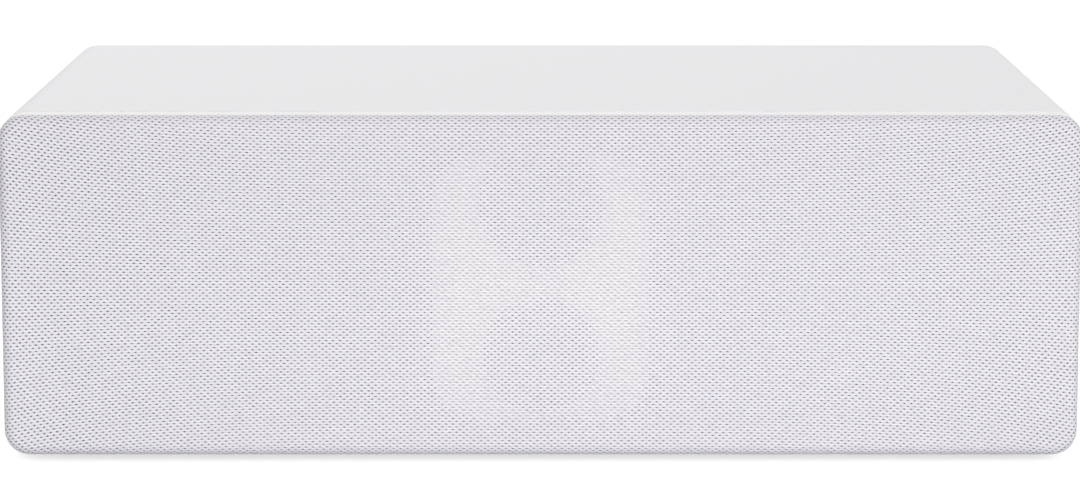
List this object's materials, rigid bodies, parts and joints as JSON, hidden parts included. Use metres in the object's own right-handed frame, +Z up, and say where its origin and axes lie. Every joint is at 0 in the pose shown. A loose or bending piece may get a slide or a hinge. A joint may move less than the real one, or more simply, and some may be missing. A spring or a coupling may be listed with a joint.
{
  "type": "centre channel loudspeaker",
  "caption": "Low wide box loudspeaker with a knitted cloth front that pulls off, woofers either side of a midrange and tweeter, rear ports and screw terminals.",
  "frame": {"origin": "on the floor plane, under the middle of the box", "axes": "+X to the right seen from the front, +Y to the rear, +Z up"},
  "size_m": [0.5, 0.31, 0.163],
  "materials": {
    "white_lacquer": "satin white lacquer on fibreboard",
    "black_board": "black painted fibreboard",
    "raw_board": "bare fibreboard",
    "black_rubber": "soft matt rubber",
    "black_plastic": "moulded matt plastic",
    "white_plastic": "moulded matt plastic",
    "knit_cloth": "open warp knit",
    "dome_cloth": "coated cloth",
    "spider_cloth": "resin-stiffened cloth",
    "cone_fibre": "pressed cone stock",
    "motor_steel": "zinc-plated steel can",
    "black_steel": "black powder coat on pressed steel",
    "copper_wire": "enamelled copper winding",
    "gilt_brass": "gilt brass",
    "red_plastic": "moulded gloss plastic",
    "black_gloss_plastic": "moulded gloss plastic",
    "board_laminate": "glass-epoxy laminate",
    "capacitor_film": "wrapped film",
    "resistor_ceramic": "cast ceramic"
  },
  "bodies": {
    "cabinet": {"cabinet_sleeve": "white_lacquer", "front_baffle": "black_board", "rear_panel": "white_lacquer", "brace_left": "raw_board", "brace_right": "raw_board", "feet": "black_rubber", "grille_sockets": "black_rubber", "driver_plate": "white_plastic", "tweeter_faceplate": "black_plastic", "tweeter_dome": "dome_cloth", "tweeter_motor": "motor_steel", "terminal_cup": "black_plastic", "midrange_housing": "black_plastic", "midrange_motor": "motor_steel", "midrange_surround": "black_rubber", "port_tube_left": "black_plastic", "port_tube_right": "black_plastic", "positive_post": "gilt_brass", "negative_post": "gilt_brass", "crossover_board": "board_laminate", "board_spacers": "black_plastic", "inductors": "copper_wire", "capacitors": "capacitor_film", "resistors": "resistor_ceramic", "woofer_left_basket": "black_steel", "woofer_left_motor": "motor_steel", "woofer_left_surround": "black_rubber", "woofer_left_spider": "spider_cloth", "woofer_right_basket": "black_steel", "woofer_right_motor": "motor_steel", "woofer_right_surround": "black_rubber", "woofer_right_spider": "spider_cloth"},
    "grille": {"grille_frame": "black_plastic", "grille_pegs": "black_plastic", "grille_cloth": "knit_cloth"},
    "woofer_left_moving": {"woofer_left_cone": "cone_fibre", "woofer_left_dust_cap": "cone_fibre", "woofer_left_voice_coil": "copper_wire"},
    "woofer_right_moving": {"woofer_right_cone": "cone_fibre", "woofer_right_dust_cap": "cone_fibre", "woofer_right_voice_coil": "copper_wire"},
    "midrange_moving": {"midrange_cone": "cone_fibre", "midrange_dust_cap": "cone_fibre", "midrange_voice_coil": "copper_wire"},
    "positive_terminal": {"positive_cap": "red_plastic"},
    "negative_terminal": {"negative_cap": "black_gloss_plastic"}
  },
  "joints": [
    {"name": "grille_pull", "type": "slide", "parent": "cabinet", "child": "grille", "axis": [0, -1, 0], "range_m": [0, 0.05]},
    {"name": "woofer_left_stroke", "type": "slide", "parent": "cabinet", "child": "woofer_left_moving", "axis": [0, -1, 0], "range_m": [-0.004, 0.004], "stiffness_N_per_m": 1000, "deforming": ["woofer_left_surround", "woofer_left_spider"]},
    {"name": "woofer_right_stroke", "type": "slide", "parent": "cabinet", "child": "woofer_right_moving", "axis": [0, -1, 0], "range_m": [-0.004, 0.004], "stiffness_N_per_m": 1000, "deforming": ["woofer_right_surround", "woofer_right_spider"]},
    {"name": "midrange_stroke", "type": "slide", "parent": "cabinet", "child": "midrange_moving", "axis": [0, -1, 0], "range_m": [-0.0015, 0.0015], "stiffness_N_per_m": 800, "deforming": ["midrange_surround"]},
    {"name": "positive_cap_turn", "type": "hinge", "parent": "cabinet", "child": "positive_terminal", "pos_m": [-0.016, 0.139, 0.083], "axis": [0, 1, 0], "range_deg": [0, 1080]},
    {"name": "negative_cap_turn", "type": "hinge", "parent": "cabinet", "child": "negative_terminal", "pos_m": [0.016, 0.139, 0.083], "axis": [0, 1, 0], "range_deg": [0, 1080]}
  ]
}
